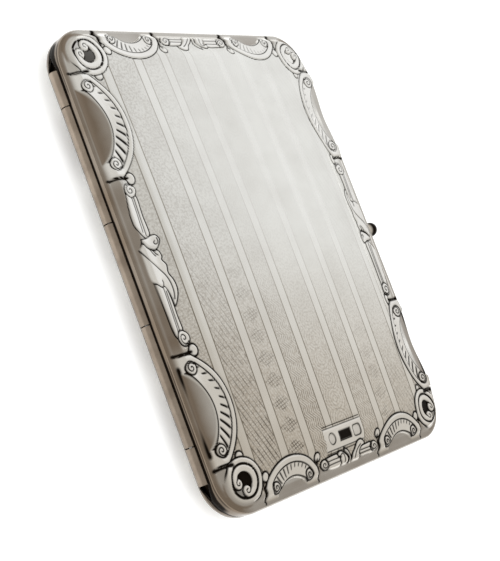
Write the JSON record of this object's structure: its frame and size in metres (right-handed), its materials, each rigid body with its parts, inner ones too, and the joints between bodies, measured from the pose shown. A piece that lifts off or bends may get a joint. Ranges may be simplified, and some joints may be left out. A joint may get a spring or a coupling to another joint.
{
  "type": "aide memoire case",
  "caption": "Slim hinged silver pocket case with a scroll border and an engine-turned panel, a push-button catch, and writing leaves, a pencil and a card pocket inside.",
  "frame": {"origin": "centre of the flat face of the back panel, on which the closed case lies", "axes": "+X from the hinge to the catch, +Y from the foot to the head of the case, +Z out of the front cover"},
  "size_m": [0.0705, 0.087, 0.0105],
  "materials": {
    "silver": "polished sterling silver with oxidised recesses",
    "steel": "drawn spring steel",
    "silk": "watered silk on card",
    "ribbon": "ribbed silk ribbon",
    "ivorine": "satin celluloid",
    "graphite": "graphite lead"
  },
  "bodies": {
    "base": {"back_cover": "silver", "back_knuckles": "silver", "hinge_pin": "steel", "back_rim": "silver", "catch_keeper": "silver", "back_lining": "silk", "leaf_rings": "silver", "ring_saddles": "silver", "pencil_barrel": "silver", "pencil_cap": "silver", "pencil_nose": "silver", "pencil_lead": "graphite", "pencil_clips": "silver"},
    "lid": {"front_cover": "silver", "front_knuckles": "silver", "spring_lugs": "silver", "front_lining": "silk", "card_pocket": "silk", "pocket_ribbon": "ribbon"},
    "catch": {"push_button": "silver", "catch_spring": "steel"},
    "page_1": {"leaf_1": "ivorine"},
    "page_2": {"leaf_2": "ivorine"},
    "page_3": {"leaf_3": "ivorine"},
    "page_4": {"leaf_4": "ivorine"}
  },
  "joints": [
    {"name": "lid_hinge", "type": "hinge", "parent": "base", "child": "lid", "pos_m": [-0.0326, 0, 0.0047], "axis": [0, -1, 0], "range_deg": [0, 130]},
    {"name": "button_press", "type": "slide", "parent": "lid", "child": "catch", "axis": [-1, 0, 0], "range_m": [0, 0.0007], "stiffness_N_per_m": 2000},
    {"name": "page_1_turn", "type": "hinge", "parent": "base", "child": "page_1", "pos_m": [-0.0224, 0, 0.00265], "axis": [0, -1, 0], "range_deg": [0, 26]},
    {"name": "page_2_turn", "type": "hinge", "parent": "base", "child": "page_2", "pos_m": [-0.0224, 0, 0.00265], "axis": [0, -1, 0], "range_deg": [0, 52]},
    {"name": "page_3_turn", "type": "hinge", "parent": "base", "child": "page_3", "pos_m": [-0.0224, 0, 0.00265], "axis": [0, -1, 0], "range_deg": [0, 78]},
    {"name": "page_4_turn", "type": "hinge", "parent": "base", "child": "page_4", "pos_m": [-0.0224, 0, 0.00265], "axis": [0, -1, 0], "range_deg": [0, 104]}
  ],
  "couplings": [
    {"joint": "page_1_turn", "follows": "lid_hinge", "ratio": 0.2},
    {"joint": "page_2_turn", "follows": "lid_hinge", "ratio": 0.4},
    {"joint": "page_3_turn", "follows": "lid_hinge", "ratio": 0.6},
    {"joint": "page_4_turn", "follows": "lid_hinge", "ratio": 0.8}
  ]
}
